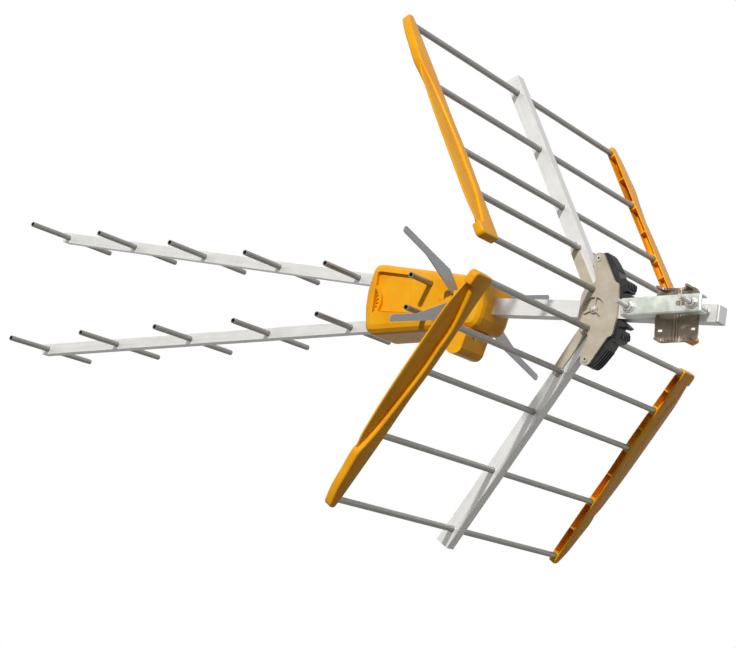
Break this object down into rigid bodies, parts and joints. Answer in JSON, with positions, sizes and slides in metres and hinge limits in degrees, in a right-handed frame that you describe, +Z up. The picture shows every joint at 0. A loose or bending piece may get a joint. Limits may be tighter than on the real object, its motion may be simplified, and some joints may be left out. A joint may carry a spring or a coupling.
{
  "type": "uhf antenna",
  "caption": "Outdoor UHF aerial: twin director booms, boxed dipole, folding V reflector on a cast hub, and a clamp for a mast.",
  "frame": {"origin": "on the axis of the mast that the clamp holds, level with the middle of the main boom", "axes": "+X along the main boom towards the directors, +Z up, +Y to the side of the boom where the mast passes"},
  "size_m": [1.1428, 0.606, 0.646],
  "materials": {
    "aluminium": "satin",
    "rod_aluminium": "dull",
    "yellow_plastic": "glossy",
    "casting": "cast, matt",
    "black_plastic": "moulded",
    "plated_steel": "zinc plated",
    "circuit_board": "laminate"
  },
  "bodies": {
    "antenna_body": {"boom_end_cap": "aluminium", "connector_cover": "yellow_plastic", "dipole_far": "aluminium", "dipole_near": "aluminium", "f_connector": "plated_steel", "front_clamp_bolt": "plated_steel", "front_clamp_nut": "plated_steel", "housing_far_shell": "yellow_plastic", "housing_near_shell": "yellow_plastic", "housing_screw_1": "plated_steel", "housing_screw_2": "plated_steel", "housing_screw_3": "plated_steel", "housing_screw_4": "plated_steel", "hub_bolt": "plated_steel", "hub_far_plate": "casting", "hub_near_plate": "casting", "hub_nut": "plated_steel", "lower_director_1": "rod_aluminium", "lower_director_2": "rod_aluminium", "lower_director_3": "rod_aluminium", "lower_director_4": "rod_aluminium", "lower_director_5": "rod_aluminium", "lower_director_6": "rod_aluminium", "lower_director_boom": "aluminium", "lower_lock": "black_plastic", "lower_lock_pin": "plated_steel", "main_boom": "aluminium", "mast_bracket": "plated_steel", "mast_saddle": "plated_steel", "matching_board": "circuit_board", "rear_clamp_bolt": "plated_steel", "rear_clamp_nut": "plated_steel", "upper_director_1": "rod_aluminium", "upper_director_2": "rod_aluminium", "upper_director_3": "rod_aluminium", "upper_director_4": "rod_aluminium", "upper_director_5": "rod_aluminium", "upper_director_6": "rod_aluminium", "upper_director_boom": "aluminium", "upper_lock": "black_plastic", "upper_lock_pin": "plated_steel"},
    "upper_panel": {"upper_arm": "aluminium", "upper_arm_root": "casting", "upper_far_cap": "yellow_plastic", "upper_near_cap": "yellow_plastic", "upper_reflector_1": "rod_aluminium", "upper_reflector_2": "rod_aluminium", "upper_reflector_3": "rod_aluminium", "upper_reflector_4": "rod_aluminium", "upper_reflector_5": "rod_aluminium"},
    "lower_panel": {"lower_arm": "aluminium", "lower_arm_root": "casting", "lower_far_cap": "yellow_plastic", "lower_near_cap": "yellow_plastic", "lower_reflector_1": "rod_aluminium", "lower_reflector_2": "rod_aluminium", "lower_reflector_3": "rod_aluminium", "lower_reflector_4": "rod_aluminium", "lower_reflector_5": "rod_aluminium"}
  },
  "joints": [
    {"name": "upper_panel_fold", "type": "hinge", "parent": "antenna_body", "child": "upper_panel", "pos_m": [0.1214, -0.0321, 0.0255], "axis": [0, 1, 0], "range_deg": [0, 48]},
    {"name": "lower_panel_fold", "type": "hinge", "parent": "antenna_body", "child": "lower_panel", "pos_m": [0.1214, -0.0321, -0.0255], "axis": [0, -1, 0], "range_deg": [0, 40]}
  ]
}
